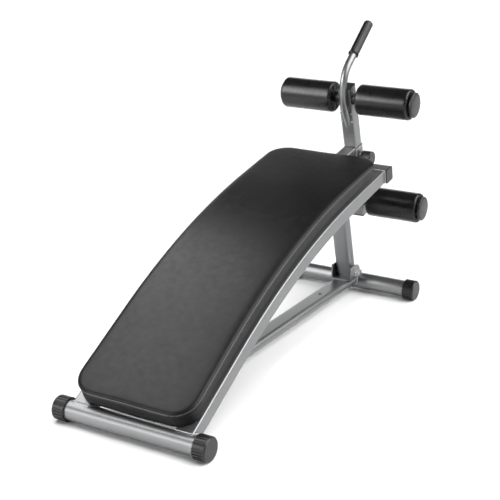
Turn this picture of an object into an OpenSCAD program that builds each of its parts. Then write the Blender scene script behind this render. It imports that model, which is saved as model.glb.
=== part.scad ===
// Decline sit up bench: a curved pad on two bent rails, round foot tubes, a rear leg, and a leg holder
// post with four foam rollers and a crunch handle. Millimetres, +Z up, +X to the right of a person
// looking from the low end to the high end, +Y towards the high end.
// The origin is on the floor, under the middle of the bench.
// Inner dimensions named in comments are chosen where the object does not show them.

/* [Drawing] */
// which node to draw, or all of them
// facets of a full circle in the preview
$fn = 72; // [24:4:128]

/* [Feet] */
// diameter of both foot tubes
foot_d = 50; // [45:1:54]
// overall length of a foot with its caps
foot_length = 434; // [420:1:460]
// distance between the two foot tubes
foot_spacing = 1174; // [1168:1:1180]
// diameter of a ribbed foot cap
cap_d = 61; // [58:0.5:64]
// length of a ribbed foot cap
cap_length = 35; // [30:1:40]
// number of ribs round a cap
cap_ribs = 24; // [16:2:28]

/* [Rails] */
// width of a rail across the bench
rail_w = 50; // [44:1:54]
// depth of a rail under the pad
rail_d = 38; // [34:1:40]
// overall width over both rails
rails_over = 340; // [330:1:350]
// height of the top line of the rails above the front foot
rail_z0 = 58.6; // [58:0.1:60]
// slope of the rails at the low end, degrees
low_angle = 29.7; // [29.4:0.1:30]
// slope of the rails at the high end, degrees
high_angle = 11; // [10.6:0.1:11.4]
// radius of the bend between the two slopes
bend_r = 1952; // [1930:1:1970]
// straight length before the bend
low_run = 242; // [238:1:246]
// straight length after the bend
high_run = 208; // [205:1:211]
// wall of the steel tubes
wall = 2; // [1.5:0.1:2.5]

/* [Pad] */
// width of the pad
pad_w = 340; // [330:1:344]
// thickness of the pad at its edge
pad_t = 45; // [40:1:50]
// radius of the pad's corners
pad_corner = 60; // [40:1:70]
// gap between the pad and the high end of the rails
pad_back = 16; // [12:1:30]
// thickness of the board inside the pad
board_t = 12; // [9:1:15]

/* [Leg holder] */
// side of the square beam, arm and post tubes
tube = 40; // [38:1:40]
// lean of the post towards the pad, degrees
post_lean = 16.6; // [16:0.1:17]
// height of the locking pin above the floor
pin_z = 427; // [424:1:430]
// distance of the locking pin behind the front foot
pin_y = 1165; // [1163:1:1168]
// post length above the pin
post_up = 233; // [225:1:240]
// post length under the pin
post_down = 195; // [190:1:200]
// upper roller axle above the pin
upper_axle = 196; // [190:1:200]
// lower roller axle under the pin
lower_axle = 151; // [148:1:154]
// travel of the post, in steps
hole_step = 25; // [20:1:25]
// number of locking holes in the post
holes = 4; // [2:1:4]

/* [Rollers] */
// diameter of a foam roller
roller_d = 90; // [80:1:94]
// length of a foam roller
roller_length = 164; // [150:1:166]
// radius of the rounded ends of a roller
roller_edge = 8; // [5:0.5:12]
// gap between the two rollers of a pair
roller_gap = 78; // [74:1:84]
// radius of a roller's domed end cap
end_r = 36; // [33:0.5:38]
// diameter of an axle tube
axle_d = 25; // [22:1:28]

/* [Handle] */
// diameter of the handle tube
bar_d = 22; // [20:1:24]
// diameter of the rubber grip
grip_d = 28; // [26:1:32]
// length of the rubber grip
grip_length = 132; // [110:1:135]

/* [Base] */
// width of the flat oval tubes of the base and the rear leg
oval_w = 60; // [54:1:62]
// thickness of the flat oval tubes
oval_t = 28; // [26:1:30]
// height of the middle of the base tube
base_z = 37; // [36:1:39]

/* [Hidden] */
cap_r = cap_d / 2;
foot_r = foot_d / 2;
cap_x = foot_length / 2;
turn = low_angle - high_angle;
// start of the bend, its centre and its end, along the top line of the rails
bend_y0 = low_run * cos(low_angle);
bend_z0 = rail_z0 + low_run * sin(low_angle);
bend_cy = bend_y0 + bend_r * sin(low_angle);
bend_cz = bend_z0 - bend_r * cos(low_angle);
bend_y1 = bend_cy - bend_r * sin(high_angle);
bend_z1 = bend_cz + bend_r * cos(high_angle);
rail_x = (rails_over - rail_w) / 2;
pin_to = tube / 2;
upper_y = pin_y - upper_axle * sin(post_lean);
lower_y = pin_y + lower_axle * sin(post_lean);
// middle of the footprint, from the front foot to the back of the lower rollers
mid_y = (lower_y + roller_d / 2 - cap_r) / 2;
steel = [0.62, 0.63, 0.64];
black = [0.05, 0.05, 0.055];
vinyl = [0.06, 0.06, 0.065];
zinc = [0.75, 0.76, 0.78];
wood = [0.55, 0.42, 0.28];
fit = 0.05;
sleeve_gap = 0.2;
sleeve_wall = 2;
sleeve_w = tube + 2 * sleeve_gap + 2 * sleeve_wall;
sleeve_up = 36;
sleeve_down = 32;
pin_d = 8.8;
lap = 0.3;
// the bent part of a tube is this much slimmer and runs a little way inside its straight parts
slip = 0.04;
bend_lap = 0.06;
// where the rails start, over the axis of the front foot
rail_y0 = -(rail_z0 - cap_r) * sin(low_angle) * cos(low_angle);
pin_hole = 9;
// leg line: it leans like the post and points at the middle of the cross beam
leg_bolt_y = 1131.5;
leg_bolt_z = 66;
leg_lean = 15.4;
leg_len = 372;
shoe_t = 3;
// handle path: headings from the vertical, in degrees
bar_h0 = -33;
bar_h1 = -2;
bar_h2 = 52;
bar_r1 = 170;
bar_r2 = 85;
bar_up = 137;
grip_from = 38;

// ---- helpers ----

module place() translate([0, -mid_y, 0]) children();

// cross section of a tube with rounded corners
module box_outline(w, d, r) {
    square([w - 2 * r, d], center = true);
    square([w, d - 2 * r], center = true);
    for (sx = [-1, 1], sy = [-1, 1]) translate([sx * (w / 2 - r), sy * (d / 2 - r)]) circle(r);
}

module box_tube(w, d, r = 4, t = wall) difference() {
    box_outline(w, d, r);
    box_outline(w - 2 * t, d - 2 * t, r - wall + 0.6);
}

// cross section of a flat sided oval tube
module oval_outline(w, d) {
    square([w - d, d], center = true);
    for (sx = [-1, 1]) translate([sx * (w - d) / 2, 0]) circle(d = d);
}

module oval_tube(w, d) difference() {
    oval_outline(w, d);
    oval_outline(w - 2 * wall, d - 2 * wall);
}

// runs a section, drawn as X and height, from a point along a slope in the middle plane
module run(y, z, slope, length) translate([0, y, z]) rotate([slope, 0, 0])
    translate([0, length, 0]) rotate([90, 0, 0]) linear_extrude(length) children();

// frame whose Y follows the slope at the high end, starting at the end of the bend
module high_frame() translate([0, bend_y1, bend_z1]) rotate([high_angle, 0, 0]) children();

// frame whose Y follows the slope at the low end, starting at the front foot
module low_frame() translate([0, 0, rail_z0]) rotate([low_angle, 0, 0]) children();

// sweeps a section round the bend, and a little past each end of it
module bend(past = 0) translate([0, bend_cy, bend_cz]) rotate([90, 0, 90]) rotate([0, 0, 90 + high_angle - past])
    rotate_extrude(angle = turn + 2 * past) translate([bend_r, 0]) mirror([1, -1, 0]) children();

// frame at the locking pin whose Z follows the post
module post_frame() translate([0, pin_y, pin_z]) rotate([post_lean, 0, 0]) children();

// frame at the leg's bolt whose Z follows the leg
module leg_frame() translate([0, leg_bolt_y, leg_bolt_z]) rotate([leg_lean, 0, 0]) children();

module x_rod(r, x0, x1, y = 0, z = 0) translate([x0, y, z]) rotate([0, 90, 0]) cylinder(r = r, h = x1 - x0);

module foot_body(y) x_rod(foot_r, -cap_x, cap_x, y, cap_r);

// ---- feet ----

module foot_tube(y) color(steel) place() difference() {
    x_rod(foot_r, -cap_x + 4, cap_x - 4, y, cap_r);
    x_rod(foot_r - wall, -cap_x, cap_x, y, cap_r);
}

// section of the ribbed part of a cap; one flat rib points down
module rib_section() {
    circle(r = cap_r - 1.6);
    for (i = [0 : cap_ribs - 1]) rotate(i * 360 / cap_ribs) translate([cap_r - 6, -2.2]) square([6, 4.4]);
}

// ribbed plastic cap, pushed over the end of the tube; a flat rib stands on the floor
module foot_cap(y, side) color(black) place() translate([0, y, cap_r]) mirror([side < 0 ? 1 : 0, 0, 0]) {
    difference() {
        union() {
            translate([cap_x - cap_length, 0, 0]) rotate([0, 90, 0]) linear_extrude(cap_length - 4) rib_section();
            x_rod(cap_r - 0.5, cap_x - 8, cap_x - 2.5);
            translate([cap_x - 2.5, 0, 0]) rotate([0, 90, 0]) cylinder(r1 = cap_r - 0.5, r2 = cap_r - 3, h = 2.5);
        }
        x_rod(foot_r + fit, cap_x - cap_length - 1, cap_x - 3.9);
    }
}

module front_foot() foot_tube(0);
module rear_foot() foot_tube(foot_spacing);
module front_cap_left() foot_cap(0, -1);
module front_cap_right() foot_cap(0, 1);
module rear_cap_left() foot_cap(foot_spacing, -1);
module rear_cap_right() foot_cap(foot_spacing, 1);

// ---- rails, beam and arm ----

// where the screws of the pad go, along the low and the high straight parts
low_screw = 120;
mid_screw = low_run - 20;
high_screw = 120;

module rail_screws(r, h0, h1) {
    low_frame() for (s = [low_screw, mid_screw]) translate([0, s, h0]) cylinder(r = r, h = h1 - h0);
    high_frame() translate([0, high_screw, h0]) cylinder(r = r, h = h1 - h0);
}

module rail(side) color(steel) place() difference() {
    translate([side * rail_x, 0, 0]) {
        run(rail_y0, rail_z0 + rail_y0 * tan(low_angle), low_angle, low_run - rail_y0 / cos(low_angle))
            translate([0, -rail_d / 2]) box_tube(rail_w, rail_d);
        bend(bend_lap) translate([0, -rail_d / 2]) box_tube(rail_w - 2 * slip, rail_d - 2 * slip, 4, wall - 2 * slip);
        high_frame() run(0, 0, 0, high_run) translate([0, -rail_d / 2]) box_tube(rail_w, rail_d);
    }
    foot_body(0);
    translate([side * rail_x, 0, 0]) rail_screws(3.5, -rail_d - 1, 1);
}
module rail_left() rail(-1);
module rail_right() rail(1);

module beam_body(extra = 0) high_frame()
    translate([-rails_over / 2 - extra, high_run, -tube]) cube([rails_over + 2 * extra, tube, tube]);

module cross_beam() color(steel) place() high_frame()
    translate([-rails_over / 2 - 2, high_run + tube / 2, -tube / 2]) rotate([90, 0, 90])
        linear_extrude(rails_over + 4) box_tube(tube, tube);

// square plug in the end of the beam, with a thin face plate
module beam_cap(side) color(black) place() high_frame() mirror([side < 0 ? 1 : 0, 0, 0])
    translate([rails_over / 2 + 2, high_run + tube / 2, -tube / 2]) rotate([90, 0, 90]) {
        linear_extrude(3.5) box_outline(tube, tube, 4);
        translate([0, 0, -16]) linear_extrude(16) box_outline(tube - 2 * wall - 0.2, tube - 2 * wall - 0.2, 4);
    }

module beam_cap_left() beam_cap(-1);
module beam_cap_right() beam_cap(1);

// arm from the beam back to the sleeve of the post
module arm() color(steel) place() difference() {
    high_frame() translate([0, high_run + tube, -tube / 2]) translate([0, 110, 0]) rotate([90, 0, 0])
        linear_extrude(110) box_tube(tube, tube);
    post_frame() translate([-60, -sleeve_w / 2, -120]) cube([120, 200, 300]);
}

// sleeve the post slides in, with the hole of the locking pin
module post_sleeve() color(steel) place() post_frame() difference() {
    translate([0, 0, -sleeve_down]) linear_extrude(sleeve_up + sleeve_down) difference() {
        box_outline(sleeve_w, sleeve_w, 5);
        box_outline(tube + 2 * sleeve_gap, tube + 2 * sleeve_gap, 4.2);
    }
    x_rod(pin_hole / 2, 10, sleeve_w / 2 + 5);
}

// steel bush welded to the sleeve; it guides the pin
module pin_bush() color(zinc) place() post_frame() difference() {
    union() {
        x_rod(9, sleeve_w / 2, sleeve_w / 2 + 5);
        x_rod(13, sleeve_w / 2, sleeve_w / 2 + 2.5);
    }
    x_rod(pin_hole / 2, sleeve_w / 2 - 1, sleeve_w / 2 + 6);
}

// ---- base and rear leg ----

module base_tube() color(steel) place() difference() {
    run(2, base_z, 0, foot_spacing - 4) oval_tube(oval_w, oval_t);
    foot_body(0);
    foot_body(foot_spacing);
    translate([0, 952, base_z + 4]) cylinder(r = 5, h = 30);
}

module rear_leg() color(steel) place() difference() {
    leg_frame() translate([0, 0, -11]) linear_extrude(leg_len + 11) oval_tube(oval_w, oval_t);
    beam_body();
    leg_frame() x_rod(5.1, -40, 40);
    translate([0, leg_bolt_y, 0]) cube([100, 120, 2 * (base_z + oval_t / 2 + shoe_t)], center = true);
}

// U shaped shoe on the base tube; its ears hold the foot of the leg
module leg_shoe() color(steel) place() difference() {
    union() {
        translate([-oval_w / 2 - shoe_t - 0.2, leg_bolt_y - 36, base_z + oval_t / 2])
            cube([oval_w + 2 * shoe_t + 0.4, 62, shoe_t]);
        for (side = [-1, 1]) mirror([side < 0 ? 1 : 0, 0, 0]) translate([oval_w / 2 + 0.2, 0, 0]) {
            translate([0, leg_bolt_y - 36, base_z + oval_t / 2]) cube([shoe_t, 78, 16]);
            translate([0, leg_bolt_y - 36, base_z + oval_t / 2]) cube([shoe_t, 36, 44]);
            translate([0, leg_bolt_y, leg_bolt_z]) rotate([0, 90, 0]) cylinder(r = 29, h = shoe_t);
        }
    }
    translate([-100, 0, -1]) cube([200, 2000, base_z + oval_t / 2 + 1]);
    foot_body(foot_spacing);
    leg_frame() x_rod(5.1, -60, 60);
}

// bolt through the shoe and the leg, washers, and its nut
module leg_bolt() color(zinc) place() leg_frame() {
    x_rod(5, -48, 40);
    x_rod(10.5, oval_w / 2 + shoe_t + 0.2, oval_w / 2 + shoe_t + 2.2);
    translate([oval_w / 2 + shoe_t + 2.2, 0, 0]) rotate([0, 90, 0]) cylinder(r = 9.2, h = 6.4, $fn = 6);
}

module leg_nut() color(zinc) place() leg_frame() difference() {
    union() {
        x_rod(10.5, -oval_w / 2 - shoe_t - 2.2, -oval_w / 2 - shoe_t - 0.2);
        translate([-oval_w / 2 - shoe_t - 10.2, 0, 0]) rotate([0, 90, 0]) cylinder(r = 9.2, h = 8, $fn = 6);
    }
    x_rod(5, -60, 0);
}

// ---- pad ----

// outline of one end of the pad, from the end at 0 to a straight cut
module end_outline(w, length, r) {
    translate([-w / 2, r]) square([w, length - r]);
    translate([-w / 2 + r, 0]) square([w - 2 * r, r]);
    for (s = [-1, 1]) translate([s * (w / 2 - r), r]) circle(r);
}

// curved slab that follows the rails, from height h0 to h1 over their top line
module slab(w, r, inset, h0, h1) {
    low_frame() translate([0, 8 + inset, h0]) linear_extrude(h1 - h0) end_outline(w, low_run - 8 - inset + lap, r);
    bend() translate([-w / 2, h0]) square([w, h1 - h0]);
    high_frame() translate([0, high_run - pad_back - inset, h0]) mirror([0, 1, 0]) linear_extrude(h1 - h0)
        end_outline(w, high_run - pad_back - inset + lap, r);
}

module pad_board() color(wood) place() difference() {
    slab(pad_w - 16, pad_corner - 8, 8, 0, board_t);
    for (side = [-1, 1]) translate([side * rail_x, 0, 0]) rail_screws(3.1, -5, board_t - 2);
}

module pad_cushion() color(vinyl) place() difference() {
    slab(pad_w, pad_corner, 0, 0.3, pad_t);
    slab(pad_w - 15.8, pad_corner - 7.9, 7.9, -2, board_t + 0.1);
}

// screws that hold the pad, from under the rails
module pad_screws(side) color(zinc) place() translate([side * rail_x, 0, 0]) {
    rail_screws(3, -rail_d - 1, board_t - 3);
    rail_screws(9, -rail_d - 1.6, -rail_d);
    rail_screws(6.5, -rail_d - 6, -rail_d - 1.5);
}
module pad_screws_left() pad_screws(-1);
module pad_screws_right() pad_screws(1);

// ---- leg holder ----

module post() color(steel) place() post_frame() difference() {
    translate([0, 0, -post_down]) linear_extrude(post_up + post_down) box_tube(tube, tube);
    for (z = [upper_axle, -lower_axle]) x_rod(axle_d / 2 + fit, -40, 40, 0, z);
    for (i = [0 : holes - 1]) x_rod(pin_hole / 2, 10, 30, 0, -i * hole_step);
}

module post_plug() {
    linear_extrude(4) box_outline(tube, tube, 4);
    translate([0, 0, -14]) linear_extrude(14) box_outline(tube - 2 * wall - 0.2, tube - 2 * wall - 0.2, 4);
}
module post_top_plug() color(black) place() post_frame() translate([0, 0, post_up]) post_plug();
module post_bottom_plug() color(black) place() post_frame() translate([0, 0, -post_down]) mirror([0, 0, 1]) post_plug();

roller_x0 = roller_gap / 2;
roller_x1 = roller_gap / 2 + roller_length;
// the axle's ends: the right one stands out for a domed cap, the left one has a flat cap
axle_x = roller_x1 + 5;
axle_left = roller_x1 + 2;

module axle(z) color(steel) place() post_frame() difference() {
    x_rod(axle_d / 2, -axle_left, axle_x, 0, z);
    x_rod(axle_d / 2 - 1.5, -axle_left - 1, axle_x + 1, 0, z);
}
module upper_axle_tube() axle(upper_axle);
module lower_axle_tube() axle(-lower_axle);

// collars that keep the rollers off the post
module collars(z) color(black) place() post_frame() for (side = [-1, 1]) mirror([side < 0 ? 1 : 0, 0, 0])
    difference() {
        x_rod(axle_d / 2 + 4, tube / 2 + 0.1, roller_x0 - 0.6, 0, z);
        x_rod(axle_d / 2 + fit, tube / 2, roller_x0, 0, z);
    }
module upper_collars() collars(upper_axle);
module lower_collars() collars(-lower_axle);

// foam roller with rounded ends
module roller(side, z) color(vinyl) place() post_frame() translate([0, 0, z]) mirror([side < 0 ? 1 : 0, 0, 0])
    rotate([0, 90, 0]) rotate_extrude() difference() {
        union() {
            translate([0, roller_x0]) square([roller_d / 2 - roller_edge, roller_length]);
            translate([0, roller_x0 + roller_edge]) square([roller_d / 2, roller_length - 2 * roller_edge]);
            for (y = [roller_x0 + roller_edge, roller_x1 - roller_edge])
                translate([roller_d / 2 - roller_edge, y]) circle(roller_edge);
        }
        translate([-60, roller_x0 - 20]) square([60 + axle_d / 2 + fit, roller_length + 40]);
    }
module roller_upper_left() roller(-1, upper_axle);
module roller_upper_right() roller(1, upper_axle);
module roller_lower_left() roller(-1, -lower_axle);
module roller_lower_right() roller(1, -lower_axle);

// round end cap plugged into the axle; its hub keeps the roller on
module end_cap(z) color(black) place() post_frame() translate([0, 0, z]) {
    x_rod(axle_d / 2 - 1.6, axle_x - 25, axle_x + 2);
    difference() {
        x_rod(17, roller_x1 + 0.6, axle_x + 1);
        x_rod(axle_d / 2 + fit, roller_x1, axle_x + 0.1);
    }
    x_rod(end_r, axle_x + 0.5, axle_x + 5);
    dome_step(axle_x + 5, end_r, end_r - 1.5, 1.5);
    dome_step(axle_x + 6.5, end_r - 1.5, end_r - 6, 1.5);
    dome_step(axle_x + 8, end_r - 6, end_r - 18, 1);
}
module dome_step(x, r1, r2, h) translate([x, 0, 0]) rotate([0, 90, 0]) cylinder(r1 = r1, r2 = r2, h = h);

// the left ends have a flat cap
module flat_cap(z) color(black) place() post_frame() translate([0, 0, z]) mirror([1, 0, 0]) {
    x_rod(axle_d / 2 - 1.6, axle_left - 22, axle_left + 1);
    difference() {
        x_rod(17, roller_x1 + 0.6, axle_left + 0.6);
        x_rod(axle_d / 2 + fit, roller_x1, axle_left + 0.1);
    }
    x_rod(end_r - 2, axle_left + 0.2, axle_left + 2);
    translate([axle_left + 2, 0, 0]) rotate([0, 90, 0]) cylinder(r1 = end_r - 2, r2 = end_r - 3, h = 0.8);
}
module end_cap_upper_left() flat_cap(upper_axle);
module end_cap_upper_right() end_cap(upper_axle);
module end_cap_lower_left() flat_cap(-lower_axle);
module end_cap_lower_right() end_cap(-lower_axle);

// ---- handle ----

bar_y0 = 1104.5;
bar_z0 = 560;
bar_c1y = bar_y0 + bar_r1 * cos(bar_h0);
bar_c1z = bar_z0 - bar_r1 * sin(bar_h0);
bar_y1 = bar_c1y - bar_r1 * cos(bar_h1);
bar_z1 = bar_c1z + bar_r1 * sin(bar_h1);
bar_c2y = bar_y1 + bar_r2 * cos(bar_h1);
bar_c2z = bar_z1 - bar_r2 * sin(bar_h1);
bar_y2 = bar_c2y - bar_r2 * cos(bar_h2);
bar_z2 = bar_c2z + bar_r2 * sin(bar_h2);

// frame with Z along the upper straight of the handle
module grip_frame() translate([0, bar_y2, bar_z2]) rotate([-bar_h2, 0, 0]) children();

module bar_section(less = 0) difference() {
    circle(d = bar_d - 2 * less);
    circle(d = bar_d - 3 + 2 * less);
}

// arc about a centre in the middle plane, from heading a to heading b, and a little past each end
module bar_arc(cy, cz, r, a, b, past, less) translate([0, cy, cz]) rotate([90, 0, 90]) rotate([0, 0, 180 - b - past])
    rotate_extrude(angle = b - a + 2 * past) translate([r, 0]) bar_section(less);

module handle_bar() color(steel) place() difference() {
    union() {
        translate([0, bar_y0, bar_z0]) rotate([-bar_h0, 0, 0]) translate([0, 0, -46]) linear_extrude(46) bar_section();
        bar_arc(bar_c1y, bar_c1z, bar_r1, bar_h0, bar_h1, 0.8, 0.1);
        bar_arc(bar_c2y, bar_c2z, bar_r2, bar_h1, bar_h2, 1.6, 0.2);
        grip_frame() linear_extrude(grip_from + grip_length - 12) bar_section();
    }
    post_frame() translate([-40, -tube / 2, 0]) cube([80, 100, post_up + 4.3]);
}

// rubber grip with a domed end
module handle_grip() color(black) place() grip_frame() difference() {
    union() {
        translate([0, 0, grip_from]) cylinder(d = grip_d, h = grip_length - 9);
        translate([0, 0, grip_from + grip_length - 9]) cylinder(d1 = grip_d, d2 = grip_d - 7, h = 6);
        translate([0, 0, grip_from - 3]) cylinder(d = grip_d + 3, h = 5);
    }
    translate([0, 0, -1]) cylinder(r = bar_d / 2 + fit, h = grip_from + grip_length - 10.9);
}

// bolts that clamp the foot of the handle to the post
module handle_bolts() color(zinc) place() post_frame() for (x = [-15.3, 15.3], z = [130, 156])
    translate([x, -tube / 2, z]) rotate([90, 0, 0]) {
        cylinder(r = 3.9, h = 1);
        translate([0, 0, 1]) cylinder(r1 = 3.5, r2 = 2.4, h = 2.4);
    }

// ---- locking knob ----

// plunger that locks the post, drawn here as pulled clear of it
module pull_pin() color(zinc) place() post_frame() x_rod(pin_d / 2, tube / 2 + 0.3, 42);

module knob() color(black) place() post_frame() difference() {
    union() {
        x_rod(20, sleeve_w / 2 + 6, sleeve_w / 2 + 8.5);
        x_rod(22, sleeve_w / 2 + 8.5, 58);
        translate([58, 0, 0]) rotate([0, 90, 0]) cylinder(r1 = 22, r2 = 20, h = 2.5);
    }
    x_rod(pin_d / 2 + fit, 0, 42.1);
    x_rod(13.6, 0, sleeve_w / 2 + 12);
}

front_foot();
rear_foot();
front_cap_left();
front_cap_right();
rear_cap_left();
rear_cap_right();
rail_left();
rail_right();
cross_beam();
beam_cap_left();
beam_cap_right();
arm();
post_sleeve();
pin_bush();
base_tube();
rear_leg();
leg_shoe();
leg_bolt();
leg_nut();
pad_board();
pad_cushion();
pad_screws_left();
pad_screws_right();
post();
post_top_plug();
post_bottom_plug();
upper_axle_tube();
lower_axle_tube();
upper_collars();
lower_collars();
roller_upper_left();
roller_upper_right();
roller_lower_left();
roller_lower_right();
end_cap_upper_left();
end_cap_upper_right();
end_cap_lower_left();
end_cap_lower_right();
handle_bar();
handle_grip();
handle_bolts();
pull_pin();
knob();
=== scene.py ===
# Decline sit up bench: soft parts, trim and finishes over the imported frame
import math
import random

import bmesh
import bpy
from mathutils import Matrix, Vector, noise
from mathutils.bvhtree import BVHTree
from mathutils.kdtree import KDTree


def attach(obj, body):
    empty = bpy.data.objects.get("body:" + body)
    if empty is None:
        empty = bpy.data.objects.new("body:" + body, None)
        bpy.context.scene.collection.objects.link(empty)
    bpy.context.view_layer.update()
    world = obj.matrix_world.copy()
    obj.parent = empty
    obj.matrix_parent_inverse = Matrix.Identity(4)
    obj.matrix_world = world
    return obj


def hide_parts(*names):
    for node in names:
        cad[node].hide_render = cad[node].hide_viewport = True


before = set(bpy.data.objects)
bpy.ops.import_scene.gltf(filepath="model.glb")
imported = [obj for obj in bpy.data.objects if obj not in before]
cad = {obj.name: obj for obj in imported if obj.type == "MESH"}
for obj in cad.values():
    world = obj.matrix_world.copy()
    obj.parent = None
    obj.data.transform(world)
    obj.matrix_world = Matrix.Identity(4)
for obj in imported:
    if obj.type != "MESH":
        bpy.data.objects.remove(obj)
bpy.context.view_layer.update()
print("frame loaded,", len(cad), "parts")

mm = 0.001
cos = lambda a: math.cos(math.radians(a))
sin = lambda a: math.sin(math.radians(a))

# the bench's main sizes in mm and degrees, with Y from the front foot
bench = {"midY": 611.3195, "capR": 30.5, "footSpacing": 1174, "railOver": 340, "railWide": 50,
         "railDeep": 38, "railZ": 58.6, "lowAngle": 29.7, "highAngle": 11, "bendR": 1952, "lowRun": 242,
         "highRun": 208, "tube": 40, "pinY": 1165, "pinZ": 427, "postLean": 16.6,
         "upperAxle": 196, "lowerAxle": 151, "sleeveWide": 44.4, "baseZ": 37,
         "ovalWide": 60, "ovalThick": 28}


def frameAt(y, z, tilt):
    # local frame in the middle plane, turned about X, in row metres
    place = Matrix.Translation((0, (y - bench["midY"]) * mm, z * mm))
    return place @ Matrix.Rotation(math.radians(tilt), 4, "X")


def bendPoint(radius, angle):
    # Y and Z in mm on an arc about the rails' bend centre; angle is the slope there
    y0 = bench["lowRun"] * cos(bench["lowAngle"]) + bench["bendR"] * sin(bench["lowAngle"])
    z0 = bench["railZ"] + bench["lowRun"] * sin(bench["lowAngle"]) - bench["bendR"] * cos(bench["lowAngle"])
    return y0 - radius * sin(angle), z0 + radius * cos(angle)


highY, highZ = bendPoint(bench["bendR"], bench["highAngle"])
lowFrame = frameAt(0, bench["railZ"], bench["lowAngle"])
highFrame = frameAt(highY, highZ, bench["highAngle"])
postFrame = frameAt(bench["pinY"], bench["pinZ"], bench["postLean"])
bendLength = bench["bendR"] * math.radians(bench["lowAngle"] - bench["highAngle"])


def alongPad(s, x, h):
    # a point at s mm along the rails' top line, x across and h above it, in row metres
    if s < bench["lowRun"]:
        return lowFrame @ Vector((x * mm, s * mm, h * mm))
    if s > bench["lowRun"] + bendLength:
        return highFrame @ Vector((x * mm, (s - bench["lowRun"] - bendLength) * mm, h * mm))
    angle = bench["lowAngle"] - math.degrees((s - bench["lowRun"]) / bench["bendR"])
    y, z = bendPoint(bench["bendR"] + h, angle)
    return Vector((x * mm, (y - bench["midY"]) * mm, z * mm))


# ---- materials ----


class Nodes:
    # short hand for building a material
    def __init__(self, name):
        self.mat = bpy.data.materials.new(name)
        self.mat.use_nodes = True
        self.tree = self.mat.node_tree
        self.bsdf = self.tree.nodes["Principled BSDF"]
        self.coords = self.add("ShaderNodeTexCoord")

    def add(self, kind, **values):
        node = self.tree.nodes.new(kind)
        for key, value in values.items():
            if hasattr(node, key):
                setattr(node, key, value)
            else:
                node.inputs[key.replace("_", " ")].default_value = value
        return node

    def link(self, a, b):
        self.tree.links.new(a, b)

    def mapped(self, scale=(1, 1, 1), turn=(0, 0, 0)):
        m = self.add("ShaderNodeMapping")
        m.inputs["Scale"].default_value = scale
        m.inputs["Rotation"].default_value = turn
        self.link(self.coords.outputs["Object"], m.inputs["Vector"])
        return m.outputs["Vector"]

    def noise(self, scale, detail=3, rough=0.5, vector=None):
        n = self.add("ShaderNodeTexNoise")
        n.inputs["Scale"].default_value = scale
        n.inputs["Detail"].default_value = detail
        n.inputs["Roughness"].default_value = rough
        self.link(vector or self.coords.outputs["Object"], n.inputs["Vector"])
        return n.outputs["Fac"]

    def ramp(self, source, stops):
        r = self.add("ShaderNodeValToRGB")
        while len(r.color_ramp.elements) < len(stops):
            r.color_ramp.elements.new(0.5)
        for e, (at, c) in zip(r.color_ramp.elements, stops):
            e.position = at
            e.color = (c, c, c, 1) if isinstance(c, (int, float)) else (*c, 1)
        self.link(source, r.inputs["Fac"])
        return r.outputs["Color"]

    def math(self, op, a, b):
        m = self.add("ShaderNodeMath", operation=op)
        for i, v in enumerate((a, b)):
            if isinstance(v, (int, float)):
                m.inputs[i].default_value = v
            else:
                self.link(v, m.inputs[i])
        return m.outputs[0]

    def bump(self, height, distance, strength=1.0, normal=None):
        b = self.add("ShaderNodeBump")
        b.inputs["Strength"].default_value = strength
        b.inputs["Distance"].default_value = distance
        self.link(height, b.inputs["Height"])
        if normal:
            self.link(normal, b.inputs["Normal"])
        return b.outputs["Normal"]

    def put(self, socket, value):
        if isinstance(value, (int, float, tuple)):
            self.bsdf.inputs[socket].default_value = value
        else:
            self.link(value, self.bsdf.inputs[socket])


def silverPaint():
    look = {"base": (0.26, 0.263, 0.267), "dark": (0.24, 0.243, 0.247), "rough": (0.39, 0.43), "flake": 2600}
    n = Nodes("silver_paint")
    n.put("Base Color", n.ramp(n.noise(9, 4), [(0.3, look["dark"]), (0.7, look["base"])]))
    n.put("Metallic", 0.92)
    n.put("Roughness", n.ramp(n.noise(14, 3, 0.5), [(0.3, look["rough"][0]), (0.72, look["rough"][1])]))
    flakes = n.bump(n.noise(look["flake"], 2), 0.00002, 0.1)  # fine metal flakes
    n.put("Normal", n.bump(n.noise(420, 2), 0.00003, 0.06, flakes))  # orange peel
    n.put("Coat Weight", 0.2)
    n.put("Coat Roughness", 0.15)
    return n.mat


def mouldedPlastic(name, tone, rough, grain=1800):
    n = Nodes(name)
    n.put("Base Color", n.ramp(n.noise(30, 4), [(0.3, tone * 0.8), (0.7, tone * 1.25)]))
    n.put("Roughness", n.ramp(n.noise(60, 5, 0.6), [(0.3, rough - 0.06), (0.72, rough + 0.08)]))
    fine = n.bump(n.noise(grain, 2), 0.00004, 0.5)
    n.put("Normal", n.bump(n.noise(240, 3), 0.00008, 0.2, fine))
    n.put("Specular IOR Level", 0.45)
    return n.mat


def leatherette(name, tone, rough, cell=620, depth=0.00012, shine=0.42):
    # soft vinyl with a fine pebble grain
    n = Nodes(name)
    n.put("Base Color", n.ramp(n.noise(14, 4), [(0.3, tone * 0.86), (0.7, tone * 1.12)]))
    pebble = n.add("ShaderNodeTexVoronoi", feature="SMOOTH_F1")
    pebble.inputs["Scale"].default_value = cell
    pebble.inputs["Smoothness"].default_value = 0.6
    n.link(n.coords.outputs["Object"], pebble.inputs["Vector"])
    n.put("Roughness", n.ramp(n.noise(55, 5, 0.6), [(0.3, rough - 0.05), (0.72, rough + 0.06)]))
    grain = n.bump(pebble.outputs["Distance"], depth, 0.3)
    n.put("Normal", n.bump(n.noise(26, 2), 0.0008, 0.05, grain))
    n.put("Specular IOR Level", shine)
    return n.mat


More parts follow.
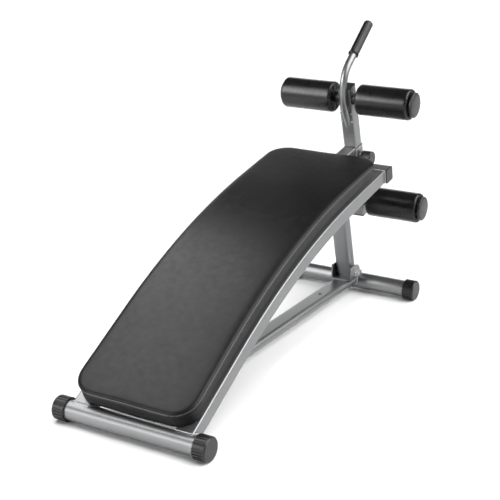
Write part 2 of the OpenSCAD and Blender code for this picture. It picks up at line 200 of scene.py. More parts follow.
def brushedZinc():
    n = Nodes("zinc")
    n.put("Base Color", n.ramp(n.noise(120, 4), [(0.3, (0.52, 0.53, 0.54)), (0.7, (0.70, 0.70, 0.69))]))
    n.put("Metallic", 1.0)
    n.put("Roughness", n.ramp(n.noise(300, 4), [(0.3, 0.2), (0.7, 0.36)]))
    n.put("Normal", n.bump(n.noise(2200, 2, 0.5, n.mapped((1, 1, 8))), 0.00003, 0.4))
    return n.mat


def dustCloth():
    # black felt like cloth over the board
    n = Nodes("board")
    n.put("Base Color", n.ramp(n.noise(180, 6, 0.7), [(0.3, 0.006), (0.7, 0.022)]))
    n.put("Roughness", n.ramp(n.noise(300, 4), [(0.3, 0.75), (0.7, 0.95)]))
    n.put("Normal", n.bump(n.noise(900, 6, 0.8, n.mapped((1, 0.35, 1))), 0.0004, 0.5))
    n.put("Sheen Weight", 0.15)
    return n.mat


def weldMetal():
    n = Nodes("weld_metal")
    n.put("Base Color", n.ramp(n.noise(160, 4), [(0.3, (0.46, 0.46, 0.465)), (0.7, (0.60, 0.60, 0.605))]))
    n.put("Metallic", 0.85)
    n.put("Roughness", n.ramp(n.noise(500, 3), [(0.3, 0.24), (0.7, 0.36)]))
    n.put("Normal", n.bump(n.noise(1500, 2), 0.00004, 0.4))
    return n.mat


mats = {
    "silver": silverPaint(),
    "plastic": mouldedPlastic("black_plastic", 0.012, 0.36),
    "capPlastic": mouldedPlastic("cap_plastic", 0.012, 0.34),
    "endPlastic": mouldedPlastic("end_disc_plastic", 0.022, 0.36, 900),
    "pad": leatherette("pad_vinyl", 0.004, 0.41, shine=0.26),
    "roller": leatherette("roller_vinyl", 0.006, 0.30, 900, 0.00005),
    "grip": mouldedPlastic("grip_rubber", 0.006, 0.32),
    # the seam thread is much lighter than the pad's black vinyl: a painted highlight for the light stitch line
    # on the pad's side wall
    "thread": mouldedPlastic("seam_thread_painted_highlight", 0.11, 0.5, 2600),
    # the piping vinyl is lighter than the pad's vinyl: a painted highlight for the light line along the pad's
    # top edge
    "piping": leatherette("pad_piping_vinyl_painted_highlight", 0.05, 0.30, 1200, 0.00003),
    "zinc": brushedZinc(),
    "board": dustCloth(),
    "weld": weldMetal(),
}

finishes = {
    "silver": ["front_foot", "rear_foot", "rail_left", "rail_right", "cross_beam", "arm", "post_sleeve",
               "base_tube", "rear_leg", "leg_shoe", "post", "upper_axle_tube", "lower_axle_tube", "handle_bar"],
    "capPlastic": ["front_cap_left", "front_cap_right", "rear_cap_left", "rear_cap_right"],
    "plastic": ["beam_cap_left", "beam_cap_right", "post_top_plug", "post_bottom_plug", "upper_collars",
                "lower_collars", "knob"],
    "endPlastic": ["end_cap_upper_left", "end_cap_upper_right", "end_cap_lower_left", "end_cap_lower_right"],
    "zinc": ["pin_bush", "leg_bolt", "leg_nut", "pad_screws_left", "pad_screws_right", "handle_bolts",
             "pull_pin"],
    "board": ["pad_board"],
    "pad": ["pad_cushion"],
    "roller": ["roller_upper_left", "roller_upper_right", "roller_lower_left", "roller_lower_right"],
    "grip": ["handle_grip"],
}

# ---- helpers ----


def joinedMesh(name, verts, faces, mat, smooth=True):
    mesh = bpy.data.meshes.new(name)
    mesh.from_pydata([tuple(v) for v in verts], [], faces)
    bm = bmesh.new()
    bm.from_mesh(mesh)
    bmesh.ops.remove_doubles(bm, verts=bm.verts, dist=0.00001)
    bmesh.ops.recalc_face_normals(bm, faces=bm.faces)
    bm.to_mesh(mesh)
    bm.free()
    if smooth:
        mesh.shade_smooth()
    mesh.materials.append(mat)
    obj = bpy.data.objects.new(name, mesh)
    bpy.context.scene.collection.objects.link(obj)
    return obj


def gridFaces(rows, cols, closedCols=False, closedRows=False, start=0):
    faces = []
    for i in range(rows if closedRows else rows - 1):
        for j in range(cols if closedCols else cols - 1):
            a, b = i, (i + 1) % rows
            c, d = j, (j + 1) % cols
            faces.append((start + a * cols + c, start + a * cols + d,
                          start + b * cols + d, start + b * cols + c))
    return faces


def revolve(name, profile, place, mat, steps=96, wobble=None):
    # turns an X and radius profile, in mm, about the X axis of a frame; ends are closed
    verts, faces = [], []
    for i, (x, r) in enumerate(profile):
        for j in range(steps):
            a = 2 * math.pi * j / steps
            dx, dr = wobble(i, x, r, a) if wobble else (0, 0)
            verts.append(place @ Vector(((x + dx) * mm, (r + dr) * mm * math.cos(a),
                                         (r + dr) * mm * math.sin(a))))
    faces = gridFaces(len(profile), steps, closedCols=True)
    faces.append(tuple(range(steps)))
    faces.append(tuple(range((len(profile) - 1) * steps, len(profile) * steps)))
    return joinedMesh(name, verts, faces, mat)


def finishTree(smoothAngle, width):
    # welds a part's split corners, shades it smooth and keeps edges over the given angle sharp
    tree = bpy.data.node_groups.new("part_finish", "GeometryNodeTree")
    face = tree.interface
    face.new_socket("Geometry", in_out="INPUT", socket_type="NodeSocketGeometry")
    face.new_socket("Edge angle", in_out="INPUT", socket_type="NodeSocketFloat").default_value = smoothAngle
    face.new_socket("Geometry", in_out="OUTPUT", socket_type="NodeSocketGeometry")
    add = tree.nodes.new
    start, end = add("NodeGroupInput"), add("NodeGroupOutput")
    merge = add("GeometryNodeMergeByDistance")
    merge.inputs["Distance"].default_value = 0.00002
    soft, hard = add("GeometryNodeSetShadeSmooth"), add("GeometryNodeSetShadeSmooth")
    hard.domain = "EDGE"
    hard.inputs["Shade Smooth"].default_value = False
    angle = add("GeometryNodeInputMeshEdgeAngle")
    more = add("FunctionNodeCompare")
    more.operation = "GREATER_THAN"
    link = tree.links.new
    link(start.outputs["Geometry"], merge.inputs["Geometry"])
    link(merge.outputs["Geometry"], soft.inputs["Geometry"])
    link(soft.outputs["Geometry"], hard.inputs["Geometry"])
    link(angle.outputs["Unsigned Angle"], more.inputs[0])
    link(start.outputs["Edge angle"], more.inputs[1])
    link(more.outputs[0], hard.inputs["Selection"])
    link(hard.outputs["Geometry"], end.inputs["Geometry"])
    return tree


partFinish = finishTree(math.radians(28), 0.4)
for key, names in finishes.items():
    for name in names:
        part = cad[name]
        part.data.materials.clear()
        part.data.materials.append(mats[key])
        m = part.modifiers.new("finish", "NODES")
        m.node_group = partFinish
print("finishes set")


def beadTree():
    # lays overlapping weld ripples along a line
    tree = bpy.data.node_groups.new("weld_bead", "GeometryNodeTree")
    face = tree.interface
    face.new_socket("Geometry", in_out="INPUT", socket_type="NodeSocketGeometry")
    for name, value in (("Radius", 0.002), ("Spacing", 0.0014), ("Stretch", 0.55), ("Jitter", 0.12)):
        s = face.new_socket(name, in_out="INPUT", socket_type="NodeSocketFloat")
        s.default_value = value
    face.new_socket("Seed", in_out="INPUT", socket_type="NodeSocketInt").default_value = 4
    face.new_socket("Material", in_out="INPUT", socket_type="NodeSocketMaterial")
    face.new_socket("Geometry", in_out="OUTPUT", socket_type="NodeSocketGeometry")
    add, link = tree.nodes.new, tree.links.new
    start, end = add("NodeGroupInput"), add("NodeGroupOutput")
    curve, points = add("GeometryNodeMeshToCurve"), add("GeometryNodeCurveToPoints")
    points.mode = "LENGTH"
    link(start.outputs["Geometry"], curve.inputs["Mesh"])
    link(curve.outputs["Curve"], points.inputs["Curve"])
    link(start.outputs["Spacing"], points.inputs["Length"])
    ball = add("GeometryNodeMeshIcoSphere")
    ball.inputs["Subdivisions"].default_value = 2
    link(start.outputs["Radius"], ball.inputs["Radius"])
    put = add("GeometryNodeInstanceOnPoints")
    link(points.outputs["Points"], put.inputs["Points"])
    link(points.outputs["Rotation"], put.inputs["Rotation"])
    link(ball.outputs["Mesh"], put.inputs["Instance"])
    size = add("FunctionNodeRandomValue")
    size.data_type = "FLOAT"
    for i, sign in ((2, "SUBTRACT"), (3, "ADD")):  # sizes vary by the jitter either way
        edge = add("ShaderNodeMath")
        edge.operation = sign
        edge.inputs[0].default_value = 1
        link(start.outputs["Jitter"], edge.inputs[1])
        link(edge.outputs[0], size.inputs[i])
    link(start.outputs["Seed"], size.inputs["Seed"])
    flat = add("ShaderNodeCombineXYZ")
    link(start.outputs["Stretch"], flat.inputs["Z"])
    link(size.outputs[1], flat.inputs["X"])
    link(size.outputs[1], flat.inputs["Y"])
    link(flat.outputs[0], put.inputs["Scale"])
    real, paint = add("GeometryNodeRealizeInstances"), add("GeometryNodeSetMaterial")
    smooth = add("GeometryNodeSetShadeSmooth")
    link(put.outputs["Instances"], real.inputs["Geometry"])
    link(real.outputs["Geometry"], smooth.inputs["Geometry"])
    link(smooth.outputs["Geometry"], paint.inputs["Geometry"])
    link(start.outputs["Material"], paint.inputs["Material"])
    link(paint.outputs["Geometry"], end.inputs["Geometry"])
    return tree


def bakeNodes(obj, tree, values):
    # runs a tree on an object and keeps the result as a plain mesh
    m = obj.modifiers.new("build", "NODES")
    m.node_group = tree
    keys = {s.name: s.identifier for s in tree.interface.items_tree if s.in_out == "INPUT"}
    for name, value in values.items():
        m[keys[name]] = value
    bpy.context.view_layer.update()
    mesh = bpy.data.meshes.new_from_object(obj.evaluated_get(bpy.context.evaluated_depsgraph_get()))
    obj.modifiers.remove(m)
    obj.data = mesh
    return obj


def lineObject(name, paths):
    # edges only, from lists of points in row metres; a path is (points, closed)
    verts, edges = [], []
    for points, closed in paths:
        first = len(verts)
        verts += [tuple(p) for p in points]
        edges += [(first + i, first + i + 1) for i in range(len(points) - 1)]
        if closed:
            edges.append((len(verts) - 1, first))
    mesh = bpy.data.meshes.new(name)
    mesh.from_pydata(verts, edges, [])
    obj = bpy.data.objects.new(name, mesh)
    bpy.context.scene.collection.objects.link(obj)
    return obj


def squareLoop(place, w, d, h, r=4, plane="XY"):
    # rounded square round a tube, at height h in a frame whose Z or Y is the tube
    points = []
    for q in range(4):
        cx, cy = (1, 1, -1, -1)[q] * (w / 2 - r), (-1, 1, 1, -1)[q] * (d / 2 - r)
        for k in range(5):
            a = -90 + q * 90 + k * 22.5
            x, y = cx + r * cos(a), cy + r * sin(a)
            points.append(place @ (Vector((x, y, h)) * mm if plane == "XY" else Vector((x, h, y)) * mm))
    return points


# ---- welds ----
welds = {"radius": 1.9, "spacing": 1.5}
bead = beadTree()
beamY = bench["highRun"] + bench["tube"]
halfTube = bench["tube"] / 2
armFrame = highFrame @ Matrix.Translation((0, 0, -halfTube * mm))
benchPaths = [
    (squareLoop(armFrame, 41, 41, beamY + 0.3, 4, "XZ"), True),  # arm to the beam
    (squareLoop(postFrame, bench["sleeveWide"], bench["sleeveWide"], 36.0, 5), True),  # top lip of the sleeve
]
for side in (-1, 1):  # rails to the beam
    rx = side * (bench["railOver"] - bench["railWide"]) / 2
    at = highFrame @ Matrix.Translation((rx * mm, 0, -bench["railDeep"] / 2 * mm))
    benchPaths.append((squareLoop(at, 50.5, 38.5, bench["highRun"] - 0.4, 4, "XZ"), True))
footMid = frameAt(0, bench["capR"], 0)
for side in (-1, 1):  # rails on the front foot, along the cope
    rx = side * (bench["railOver"] - bench["railWide"]) / 2
    for dx in (-25.4, 25.4):
        path = []
        for k in range(13):
            a = 22 + k * 5.5  # degrees up from the back of the foot tube
            p = Vector(((rx + dx), 25.3 * cos(a), 25.3 * sin(a)))
            path.append(footMid @ (p * mm))
        benchPaths.append((path, False))
    top = [footMid @ (Vector((rx - 24 + 4 * k, 25.5 * cos(93), 25.5 * sin(93) + 1)) * mm) for k in range(13)]
    benchPaths.append((top, False))
for y, way in ((0, 1), (bench["footSpacing"], -1)):  # base tube to both feet
    path = []
    for k in range(48):
        a = k * 7.5
        half = (bench["ovalWide"] - bench["ovalThick"]) / 2
        x = bench["ovalThick"] / 2 * cos(a) + (half if cos(a) > 0 else -half)
        z = bench["ovalThick"] / 2 * sin(a) + bench["baseZ"] - bench["capR"]
        reach = way * (math.sqrt(25.2 ** 2 - z * z) + 0.4)
        path.append(frameAt(y, bench["capR"], 0) @ (Vector((x, reach, z)) * mm))
    benchPaths.append((path, True))
benchBeads = bakeNodes(lineObject("weld_beads_frame", benchPaths), bead,
                       {"Radius": welds["radius"] * mm, "Spacing": welds["spacing"] * mm, "Seed": 4,
                        "Material": mats["weld"]})
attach(benchBeads, "bench")
holderPaths = []
for z in (bench["upperAxle"], -bench["lowerAxle"]):  # axles to the post
    for side in (-1, 1):
        ring = [postFrame @ (Vector((side * 20.2, 13 * cos(k * 10), z + 13 * sin(k * 10))) * mm)
                for k in range(36)]
        holderPaths.append((ring, True))
postBeads = bakeNodes(lineObject("weld_beads_post", holderPaths), bead,
                      {"Radius": 1.4 * mm, "Spacing": 1.3 * mm, "Seed": 9, "Material": mats["weld"]})
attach(postBeads, "leg_holder")
print("welds laid")

# ---- pad ----
pad = {"wide": 340, "thick": 45, "corner": 60, "crown": 3.5, "from": 0, "back": 16, "shrink": 1.6,
       "voxel": 5.5, "swell": 3.5, "cap": 3, "even": 14, "pipe": 1.7, "pipeHeight": 41, "stitchHeight": 35,
       "stitchStep": 4.2, "count": 300}
padEnd = bench["lowRun"] + bendLength + bench["highRun"] - pad["back"]


def padOutline(inset):
    # s and x in mm round the pad; point i and point count - i mirror each other
    r = max(pad["corner"] - inset, 3)
    s0, s1, half = pad["from"] + inset, padEnd - inset, pad["wide"] / 2 - inset
    a, b, arc, n = half - r, s1 - s0 - 2 * r, math.pi / 2 * r, pad["count"] // 2
    total, out = 2 * a + b + 2 * arc, []
    for i in range(n + 1):
        d = total * i / n
        back = d > total / 2
        d = min(d, total - d)
        if d <= a:
            s, x = s0, d
        elif d <= a + arc:
            turn = (d - a) / r
            s, x = s0 + r - r * math.cos(turn), half - r + r * math.sin(turn)
        else:
            s, x = s0 + r + d - a - arc, half
        out.append((s0 + s1 - s if back else s, x))
    return out + [(s, -x) for s, x in reversed(out[1:-1])]


fromLow, fromHigh = lowFrame.inverted(), highFrame.inverted()


def padPlace(p):
    # s, x and h in mm of a point in row metres
    y, z = p.y / mm + bench["midY"], p.z / mm
    cy, cz = bendPoint(0, 0)
    slope = math.degrees(math.atan2(cy - y, z - cz))
    if slope > bench["lowAngle"]:
        q = fromLow @ p / mm
        return q.y, q.x, q.z
    if slope < bench["highAngle"]:
        q = fromHigh @ p / mm
        return q.y + bench["lowRun"] + bendLength, q.x, q.z
    s = bench["lowRun"] + math.radians(bench["lowAngle"] - slope) * bench["bendR"]
    return s, p.x / mm, math.hypot(y - cy, z - cz) - bench["bendR"]


def padInset(s, x):
    # how far inside the pad's outline a point is, in mm
    r = pad["corner"]
    qs = abs(s - (pad["from"] + padEnd) / 2) - ((padEnd - pad["from"]) / 2 - r)
    qx = abs(x) - (pad["wide"] / 2 - r)
    return r - math.hypot(max(qs, 0), max(qx, 0)) - min(max(qs, qx), 0)


def padForm(shrink):
    # closed crowned slab; its sides lean in a little towards the rails
    t, count = pad["thick"], pad["count"]
    rings = [(158, 0.8), (100, 0.8), (50, 0.8), (20, 0.8)]
    rings += [(5 + shrink, 0.8), (1.9 + shrink, 1.4), (0.9 + shrink, 4)]
    rings += [(0.5 + shrink, h) for h in (8, 13, 18, 23, 28, 33, 37)]
    rings += [(0.7 + shrink, 40 - shrink / 2), (2.2 + shrink, 42.4 - shrink / 2),
              (5.2 + shrink, 44.3 - shrink / 2)]
    for inset in (10, 17, 26, 38, 52, 70, 90, 110, 130, 145, 158):
        rings.append((inset, t - shrink / 2 + pad["crown"] * (1 - (1 - inset / 160) ** 2.4)))
    verts = [alongPad(s, x, h) for inset, h in rings for s, x in padOutline(inset)]
    faces = gridFaces(len(rings), count, closedCols=True)
    for first in (0, (len(rings) - 1) * count):  # close the two long narrow loops with a ladder
        n = count // 2
        faces += [(first, first + 1, first + count - 1), (first + n - 1, first + n, first + n + 1)]
        faces += [(first + i, first + i + 1, first + count - i - 1, first + count - i)
                  for i in range(1, n - 1)]
    return joinedMesh("pad_cover", verts, faces, mats["pad"])


def swellField(obj, pressure, voxel):
    # inflates a remeshed form as cloth; gives its points at rest and how far each moved
    bpy.context.view_layer.objects.active = obj
    r = obj.modifiers.new("remesh", "REMESH")
    r.mode = "VOXEL"
    r.voxel_size = voxel * mm
    bpy.ops.object.modifier_apply(modifier=r.name)
    rest = [v.co.copy() for v in obj.data.vertices]
    c = obj.modifiers.new("cloth", "CLOTH")
    c.settings.quality = 4
    c.settings.mass = 0.4
    c.settings.tension_stiffness = c.settings.compression_stiffness = 12
    c.settings.bending_stiffness = 4
    c.settings.use_pressure = True
    c.settings.uniform_pressure_force = pressure
    c.settings.effector_weights.gravity = 0
    c.collision_settings.use_collision = False
    c.point_cache.frame_start, c.point_cache.frame_end = 1, 22
    scene = bpy.context.scene
    for f in range(1, 21):
        scene.frame_set(f)
    moved = [v.co.copy() for v in obj.evaluated_get(bpy.context.evaluated_depsgraph_get()).data.vertices]
    scene.frame_set(1)
    near = [[] for _ in rest]
    for e in obj.data.edges:
        i, j = e.vertices
        near[i].append(j)
        near[j].append(i)
    moves = [b - a for a, b in zip(rest, moved)]
    for _ in range(pad["even"]):  # evens out the wobble of single points
        moves = [(moves[i] + sum((moves[j] for j in near[i]), Vector())) / (len(near[i]) + 1)
                 for i in range(len(moves))]
    return rest, moves


def swell(obj):
    # puts the cloth's movement on the cover, less towards its fixed lower edge
    temp = padForm(pad["shrink"])
    rest, moves = swellField(temp, pad["swell"], pad["voxel"])
    bpy.data.objects.remove(temp)
    tree = KDTree(len(rest))
    for i, p in enumerate(rest):
        tree.insert(p, i)
    tree.balance()
    for v in obj.data.vertices:
        found = tree.find_n(v.co, 6)
        d = sum((moves[i] for _, i, _ in found), Vector()) / len(found)
        h = padPlace(v.co)[2]
        d *= min(max((h - 6) / 30, 0), 1)
        if d.length > pad["cap"] * mm:
            d *= pad["cap"] * mm / d.length
        v.co += d


def settlePad(obj):
    # rests it on the rails, makes room for the board, and softly caps the height of its top
    for v in obj.data.vertices:
        s, x, h = padPlace(v.co)
        inset = padInset(s, x)
        if h < 12.8 and inset > 5.5:
            h = 12.8
        h = max(h, 0.7)
        top = pad["thick"] + pad["crown"] + 1.2
        if h > top - 3:
            h = top - 3 + 3 * (1 - math.exp(-(h - top + 3) / 3))
        v.co = alongPad(s, x, h)


def onSide(tree, inset, h, out=0.0):
    # points on the pad's side wall at one height, found from outside, pushed out a little
    points = []
    ring, wide = padOutline(0), padOutline(-12)
    for (s, x), (ws, wx) in zip(ring, wide):
        a, b = alongPad(ws, wx, h), alongPad(s, x, h)
        aim = (b - a).normalized()
        hit = tree.ray_cast(a, aim)[0]
        points.append((hit if hit else b) - aim * out * mm)
    return points


def smoothLoop(points, times=3):
    for _ in range(times):
        n = len(points)
        points = [(points[i - 1] + points[i] * 2 + points[(i + 1) % n]) / 4 for i in range(n)]
    return points


def tubeAlong(name, points, radius, mat, closed=True, sides=4):
    curve = bpy.data.curves.new(name, "CURVE")
    curve.dimensions, curve.bevel_depth, curve.bevel_resolution = "3D", radius * mm, sides
    spline = curve.splines.new("POLY")
    spline.points.add(len(points) - 1)
    for q, p in zip(spline.points, points):
        q.co = (*p, 1)
    spline.use_cyclic_u = closed
    temp = bpy.data.objects.new(name, curve)
    bpy.context.scene.collection.objects.link(temp)
    bpy.context.view_layer.update()
    mesh = bpy.data.meshes.new_from_object(temp.evaluated_get(bpy.context.evaluated_depsgraph_get()))
    bpy.data.objects.remove(temp)
    mesh.materials.clear()
    mesh.materials.append(mat)
    mesh.shade_smooth()
    obj = bpy.data.objects.new(name, mesh)
    bpy.context.scene.collection.objects.link(obj)
    return obj


padCover = padForm(0.4)
swell(padCover)
bpy.context.view_layer.objects.active = padCover
sub = padCover.modifiers.new("smooth", "SUBSURF")
sub.levels = sub.render_levels = 1
bpy.ops.object.modifier_apply(modifier=sub.name)
settlePad(padCover)
padCover.data.shade_smooth()
padMesh = padCover.data
sideTree = BVHTree.FromPolygons([v.co for v in padMesh.vertices], [f.vertices for f in padMesh.polygons])
pipeLine = smoothLoop(onSide(sideTree, 0, pad["pipeHeight"], 0.2))
# the piping's lighter vinyl paints a highlight line along the top edge
piping = tubeAlong("pad_piping", pipeLine, pad["pipe"], mats["piping"])
# the stitches' light thread paints a highlight line along the side wall
stitchLine = smoothLoop(onSide(sideTree, 0, pad["stitchHeight"], 0.05))
stitches = bakeNodes(lineObject("pad_stitches", [(stitchLine, True)]), bead,
                     {"Radius": 0.42 * mm, "Spacing": pad["stitchStep"] * mm, "Stretch": 3.4, "Jitter": 0.04,
                      "Seed": 2, "Material": mats["thread"]})
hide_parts("pad_cushion")
for piece in (padCover, piping, stitches):
    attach(piece, "bench")


def stapleTree():
    # staples across a line
    tree = bpy.data.node_groups.new("staples", "GeometryNodeTree")
    face = tree.interface
    face.new_socket("Geometry", in_out="INPUT", socket_type="NodeSocketGeometry")
    face.new_socket("Step", in_out="INPUT", socket_type="NodeSocketFloat").default_value = 0.02
    face.new_socket("Width", in_out="INPUT", socket_type="NodeSocketFloat").default_value = 0.01
    face.new_socket("Material", in_out="INPUT", socket_type="NodeSocketMaterial")
    face.new_socket("Geometry", in_out="OUTPUT", socket_type="NodeSocketGeometry")
    add, link = tree.nodes.new, tree.links.new
    start, end = add("NodeGroupInput"), add("NodeGroupOutput")
    curve, points = add("GeometryNodeMeshToCurve"), add("GeometryNodeCurveToPoints")
    points.mode = "LENGTH"
    link(start.outputs["Geometry"], curve.inputs["Mesh"])
    link(curve.outputs["Curve"], points.inputs["Curve"])
    link(start.outputs["Step"], points.inputs["Length"])
    size, wire = add("ShaderNodeCombineXYZ"), add("GeometryNodeMeshCube")
    size.inputs["X"].default_value = size.inputs["Y"].default_value = 0.0011
    link(start.outputs["Width"], size.inputs["Z"])
    link(size.outputs[0], wire.inputs["Size"])
    turn, put = add("FunctionNodeRandomValue"), add("GeometryNodeInstanceOnPoints")
    turn.data_type = "FLOAT_VECTOR"
    turn.inputs["Min"].default_value, turn.inputs["Max"].default_value = (-0.12, -0.05, 0), (0.12, 0.05, 0)
    turn.inputs["Seed"].default_value = 7
    link(points.outputs["Points"], put.inputs["Points"])
    link(wire.outputs["Mesh"], put.inputs["Instance"])
    spin, both = add("FunctionNodeEulerToRotation"), add("FunctionNodeRotateRotation")
    link(turn.outputs[0], spin.inputs[0])
    both.rotation_space = "LOCAL"
    link(points.outputs["Rotation"], both.inputs[0])
    link(spin.outputs[0], both.inputs[1])
    link(both.outputs[0], put.inputs["Rotation"])
    real, paint = add("GeometryNodeRealizeInstances"), add("GeometryNodeSetMaterial")
    link(put.outputs["Instances"], real.inputs["Geometry"])
    link(real.outputs["Geometry"], paint.inputs["Geometry"])
    link(start.outputs["Material"], paint.inputs["Material"])
    link(paint.outputs["Geometry"], end.inputs["Geometry"])
    return tree


stapleLines = [([alongPad(s, x, -0.35) for x in range(-104, 105, 8)], False) for s in (30, padEnd - 20)]
stapleLines += [([alongPad(s, x, -0.35) for s in range(44, int(padEnd) - 30, 12)], False)
                for x in (-112, 112)]
staples = bakeNodes(lineObject("pad_staples", stapleLines), stapleTree(),
                    {"Step": 26 * mm, "Width": 10 * mm, "Material": mats["zinc"]})
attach(staples, "bench")
print("pad made", len(padCover.data.polygons))

# ---- rollers ----
roller = {"d": 90, "long": 164, "gap": 78, "edge": 8, "pleats": 30, "pleatDeep": 2.6, "soft": 0.35}


def rollerCover(name, side, z, seed, body):
    # a foam sleeve in a tube of vinyl; each end is gathered into uneven pleats round the axle
    rnd = random.Random(seed)
    r, x0, x1 = roller["d"] / 2, roller["gap"] / 2, roller["gap"] / 2 + roller["long"]
    e = roller["edge"]
    face = [(2.4 * (1 - t) ** 1.5, 13.2 + (r - e - 13.2) * t) for t in [k / 10 for k in range(10)]]
    edge = [(e - e * sin(a), r - e + e * cos(a)) for a in range(90, -1, -10)]
    prof = [(x0 + d, q) for d, q in face] + [(x0 + d, q) for d, q in edge]
    prof += [(x0 + e + (x1 - x0 - 2 * e) * k / 24, r) for k in range(1, 24)]
    prof += [(x1 - d, q) for d, q in reversed(edge)] + [(x1 - d, q) for d, q in reversed(face)]
    folds = [(rnd.uniform(0.35, 1.0), rnd.uniform(-0.35, 0.35)) for _ in range(roller["pleats"])]

    def wobble(i, x, rr, a):
        near = x < (x0 + x1) / 2
        t = (a / (2 * math.pi)) * roller["pleats"] + (0.4 if near else 0)
        k = int(t) % roller["pleats"]
        deep, off = folds[k]
        u = (t - int(t) - 0.5 - off * 0.5) * 2
        fold = deep * max(0.0, 1 - abs(u) * 1.5) ** 0.8  # one sharp crease in each pleat
        ease = max(0.0, min(1.0, (r - 1.2 - rr) / 6)) if rr < r - 0.01 else 0.0
        rim = max(0.0, 1 - min(x - x0, x1 - x) / 16) ** 2
        inward = roller["pleatDeep"] * fold * (0.55 * rim + 0.6 * ease) * min(1, (rr - 12) / 16)
        spot = Vector((math.cos(a) * 1.2, math.sin(a) * 1.2, x * 0.018 + seed * 5))
        soft = roller["soft"] * noise.noise(spot)
        return (inward * 0.9 if near else -inward * 0.9) * ease, -inward * 0.6 + soft * (1 - rim)

    place = postFrame @ Matrix.Translation((0, 0, z * mm))
    if side < 0:
        place = place @ Matrix.Scale(-1, 4, (1, 0, 0))
    obj = revolve(name + "_cover", prof, place, mats["roller"], 300, wobble)
    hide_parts(name)
    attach(obj, body)
    return obj


for name, side, z, seed, body in (("roller_upper_left", -1, bench["upperAxle"], 1, "roller_ul"),
                                  ("roller_upper_right", 1, bench["upperAxle"], 2, "roller_ur"),
                                  ("roller_lower_left", -1, -bench["lowerAxle"], 3, "roller_ll"),
                                  ("roller_lower_right", 1, -bench["lowerAxle"], 4, "roller_lr")):
    rollerCover(name, side, z, seed, body)
print("rollers made")

# ---- grip ----
grip = {"r": 14, "from": 38, "long": 132, "flutes": 14, "flute": 0.7, "barY": 1104.5, "barZ": 560,
        "turns": ((170, -33, -2), (85, -2, 52))}
gripY, gripZ = grip["barY"], grip["barZ"]
for radius, a0, a1 in grip["turns"]:  # follow the handle's two bends to its upper straight
    gripY, gripZ = gripY + radius * (cos(a0) - cos(a1)), gripZ + radius * (sin(a1) - sin(a0))
gripFrame = frameAt(gripY, gripZ, -grip["turns"][-1][2]) @ Matrix.Rotation(math.radians(-90), 4, "Y")


def gripWobble(i, x, r, a):
    inside = min(x - grip["from"] - 5, grip["from"] + grip["long"] - 11 - x)
    deep = max(0.0, min(1.0, inside / 2.5))
    return 0, -grip["flute"] * deep * (0.5 - 0.5 * math.cos(grip["flutes"] * a)) ** 3


g0, g1, gr = grip["from"], grip["from"] + grip["long"], grip["r"]
gripProfile = [(g0 - 3, 11.1), (g0 - 3, gr + 0.4), (g0 - 2.4, gr + 1.2), (g0 - 1, gr + 1.5), (g0 + 1, gr + 1.5),
               (g0 + 2.4, gr + 1), (g0 + 3.2, gr + 0.3), (g0 + 4, gr)]
gripProfile += [(g0 + 4 + (g1 - g0 - 14) * k / 40, gr) for k in range(1, 41)]
gripProfile += [(g1 - 10 + 6.6 * sin(a), gr - 6 + 6 * cos(a)) for a in range(10, 81, 10)]
gripProfile += [(g1 - 3.3, gr - 7), (g1 - 3.1, 4), (g1 - 3.05, 1)]
gripCover = revolve("handle_grip_rubber", gripProfile, gripFrame, mats["grip"], 168, gripWobble)
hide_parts("handle_grip")
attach(gripCover, "leg_holder")
print("grip made")

# ---- studio ----
studio = {"camera": (1.4607, -2.5638, 1.2753), "down": 0.323, "turn": 0.530, "lens": 83.63,
          "floor": 0.9, "fill": 0.05,
          "panel": (-0.52, -0.42, 0.92), "panelSize": (0.6, 1.25), "panelPower": 10.2}


def floorSheet():
    n = Nodes("floor_paper")
    n.put("Base Color", n.ramp(n.noise(3, 3), [(0.2, studio["floor"] - 0.01), (0.8, studio["floor"] + 0.01)]))
    n.put("Roughness", 0.9)
    n.put("Specular IOR Level", 0.1)
    corners = [(-30, -30, 0), (30, -30, 0), (30, 30, 0), (-30, 30, 0)]
    obj = joinedMesh("studio_floor", corners, [(0, 1, 2, 3)], n.mat, smooth=False)
    obj.location.z = -0.0005


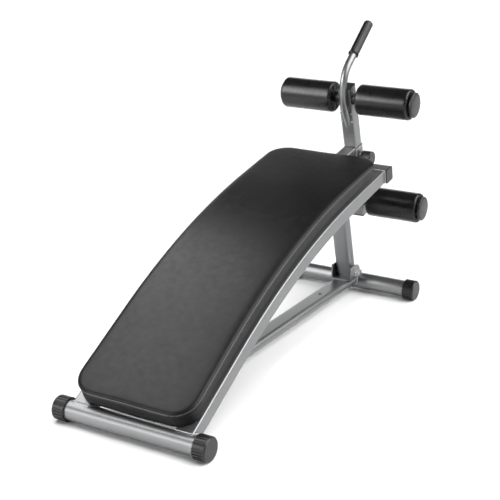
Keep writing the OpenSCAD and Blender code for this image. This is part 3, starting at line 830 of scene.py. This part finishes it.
floorSheet()
world = bpy.data.worlds.new("studio_world")
bpy.context.scene.world = world
world.use_nodes = True
wt = world.node_tree
back = wt.nodes["Background"]
back.inputs["Color"].default_value = (1, 1, 1, 1)
wc = wt.nodes.new("ShaderNodeTexCoord")
total = None
# soft boxes in the sky: direction, inner and outer half angle, level
softBoxes = (((-0.52, -0.78, 0.33), 3, 21, 5.2),  # front, low
             ((-0.50, 0.87, 0.12), 8, 22, 1.9),  # low at the back
             ((0.62, 0.22, 0.75), 10, 46, 5.2))  # right, for the floor and the pad's edge
for way, inner, outer, level in softBoxes:
    aim, fall = wt.nodes.new("ShaderNodeVectorMath"), wt.nodes.new("ShaderNodeMapRange")
    aim.operation, fall.interpolation_type = "DOT_PRODUCT", "SMOOTHSTEP"
    aim.inputs[1].default_value = Vector(way).normalized()
    for name, value in (("From Min", cos(outer)), ("From Max", cos(inner)),
                        ("To Min", 0.0), ("To Max", level)):
        fall.inputs[name].default_value = value
    wt.links.new(wc.outputs["Generated"], aim.inputs[0])
    wt.links.new(aim.outputs["Value"], fall.inputs["Value"])
    plus = wt.nodes.new("ShaderNodeMath")
    plus.inputs[1].default_value = studio["fill"]
    wt.links.new(fall.outputs["Result"], plus.inputs[0])
    if total:
        wt.links.new(total, plus.inputs[1])
    total = plus.outputs[0]
wt.links.new(total, back.inputs["Strength"])

# long soft panel over the left side of the pad
panel = bpy.data.lights.new("pad_panel", "AREA")
panel.shape, panel.energy = "RECTANGLE", studio["panelPower"]
panel.size, panel.size_y = studio["panelSize"]
panelObj = bpy.data.objects.new("pad_panel", panel)
panelObj.location = studio["panel"]
panelObj.rotation_euler = (0, -math.radians(32), 0)
panelObj.visible_camera = False
bpy.context.scene.collection.objects.link(panelObj)

cam = bpy.data.cameras.new("camera")
cam.lens, cam.sensor_width = studio["lens"], 36
cam.clip_end = 200
camObj = bpy.data.objects.new("camera", cam)
camObj.location = studio["camera"]
camObj.rotation_euler = (math.pi / 2 - studio["down"], 0, studio["turn"])
bpy.context.scene.collection.objects.link(camObj)
bpy.context.scene.camera = camObj
bpy.context.scene.view_settings.view_transform = "Standard"
print("studio set")
